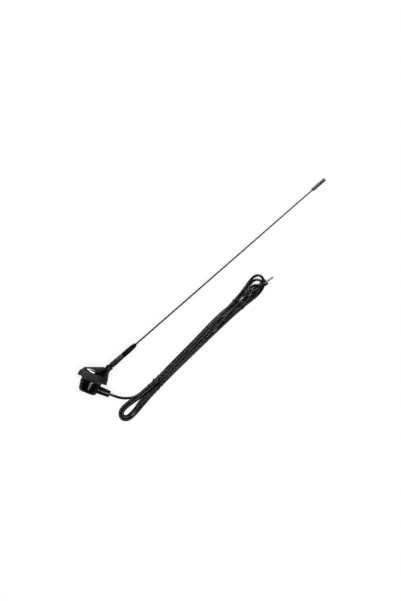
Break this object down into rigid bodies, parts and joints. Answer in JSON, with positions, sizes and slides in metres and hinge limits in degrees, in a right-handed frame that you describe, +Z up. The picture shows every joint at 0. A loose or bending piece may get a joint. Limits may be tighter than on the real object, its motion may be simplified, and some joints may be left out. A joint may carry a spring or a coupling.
{
  "type": "radio antenna",
  "caption": "Black car roof aerial with a hinged whip on an oval foot, a screw-up clamp cup, and a coaxial lead tied in a hank that ends in an aerial plug.",
  "frame": {"origin": "centre of the gasket's seat plane, where the bolt's axis meets the roof", "axes": "+X along the whip in plan, from the foot to the tip, as the aerial lies; +Z up from the table it lies on; +Y to the side away from the cable hank"},
  "size_m": [0.4855, 0.1076, 0.04],
  "materials": {
    "cover_black": "gloss black paint on a die casting",
    "cup_black": "gloss",
    "rubber_black": "matte",
    "mast_black": "gloss black coating",
    "cap_satin": "satin grey",
    "bright_steel": "bright plated",
    "zinc_steel": "zinc plated",
    "dark_steel": "blackened, satin",
    "bronze": "plain",
    "cable_black": "soft gloss",
    "tie_black": "matte"
  },
  "bodies": {
    "base": {"base_cover": "cover_black", "swivel_screw": "dark_steel", "swivel_nut": "dark_steel", "base_plate": "zinc_steel", "plate_screws": "zinc_steel", "mounting_bolt": "zinc_steel", "contact_strip": "bronze", "base_gasket": "rubber_black", "insulating_bush": "cup_black", "claw_washer": "bright_steel", "lower_cup": "cup_black", "terminal_lug": "bronze", "shield_strap": "bright_steel", "spring_washer": "zinc_steel", "clamp_nut": "zinc_steel", "outlet_sleeve": "cup_black", "cable_end": "cable_black", "cable_lead": "cable_black", "cable_hank": "cable_black", "lower_tie": "tie_black", "upper_tie": "tie_black", "plug_boot": "cable_black", "plug_barrel": "dark_steel", "plug_insulator": "cup_black", "plug_pin": "bright_steel"},
    "mast": {"swivel_foot": "dark_steel", "mast_sleeve": "rubber_black", "mast_ferrule": "mast_black", "mast_rod": "mast_black", "mast_tip_cap": "cap_satin"}
  },
  "joints": [
    {"name": "mast_swivel", "type": "hinge", "parent": "base", "child": "mast", "pos_m": [0.03066, -0.00316, -0.00116], "axis": [0.0377, 0, 0.9993], "range_deg": [0, 90]}
  ]
}
